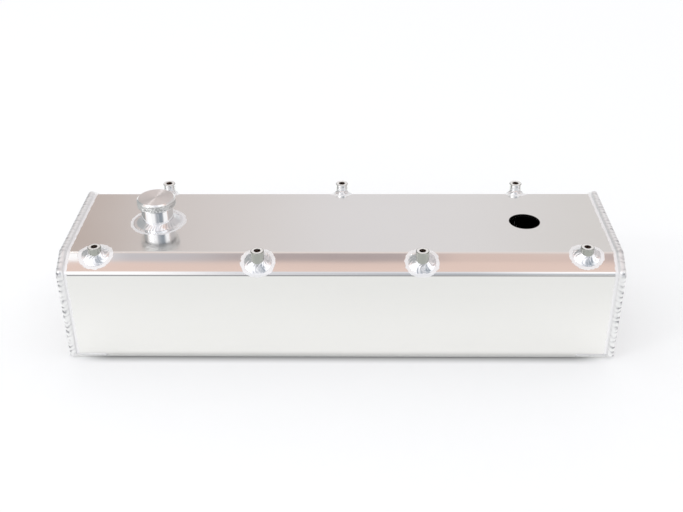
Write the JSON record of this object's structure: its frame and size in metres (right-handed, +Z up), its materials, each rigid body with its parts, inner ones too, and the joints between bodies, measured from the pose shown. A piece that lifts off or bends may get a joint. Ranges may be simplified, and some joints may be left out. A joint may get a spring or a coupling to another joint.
{
  "type": "engine valve cover",
  "caption": "Fabricated aluminium valve cover: a folded and welded sheet shell on a plate rail, with bolt tubes, a screw filler cap and a breather hole.",
  "frame": {"origin": "centre of the gasket face, on the surface that the cover stands on", "axes": "+X along the cover, with the filler at -X; -Y is the side with four bolts, +Y the side with three; +Z up through the flat top"},
  "size_m": [0.5392, 0.1674, 0.137],
  "materials": {
    "sheet": "bright, lightly brushed sheet",
    "rail": "machined",
    "weld": "rippled weld with an etched rim",
    "turned": "turned and polished",
    "cap": "turned face, knurled rim",
    "seal": "matt black"
  },
  "bodies": {
    "cover": {"base_rail": "rail", "body_sheet": "sheet", "filler_neck": "turned", "filler_weld": "weld", "left_end_plate": "sheet", "left_end_weld": "weld", "left_rail_weld": "weld", "lower_bolt_tube_1": "turned", "lower_bolt_tube_2": "turned", "lower_bolt_tube_3": "turned", "lower_bolt_tube_4": "turned", "lower_tube_weld_1": "weld", "lower_tube_weld_2": "weld", "lower_tube_weld_3": "weld", "lower_tube_weld_4": "weld", "right_end_plate": "sheet", "right_end_weld": "weld", "right_rail_weld": "weld", "upper_bolt_tube_1": "turned", "upper_bolt_tube_2": "turned", "upper_bolt_tube_3": "turned", "upper_tube_weld_1": "weld", "upper_tube_weld_2": "weld", "upper_tube_weld_3": "weld"},
    "cap_seal": {"filler_cap_seal": "seal"},
    "cap": {"filler_cap": "cap"}
  },
  "joints": [
    {"name": "cap_lift", "type": "slide", "parent": "cover", "child": "cap_seal", "axis": [0, 0, 1], "range_m": [0, 0.0106]},
    {"name": "cap_turn", "type": "hinge", "parent": "cap_seal", "child": "cap", "pos_m": [-0.184, 0, 0.13], "axis": [0, 0, 1], "range_deg": [0, 1800]}
  ],
  "couplings": [
    {"joint": "cap_lift", "follows": "cap_turn", "m_per_rad": 0.00033688}
  ]
}
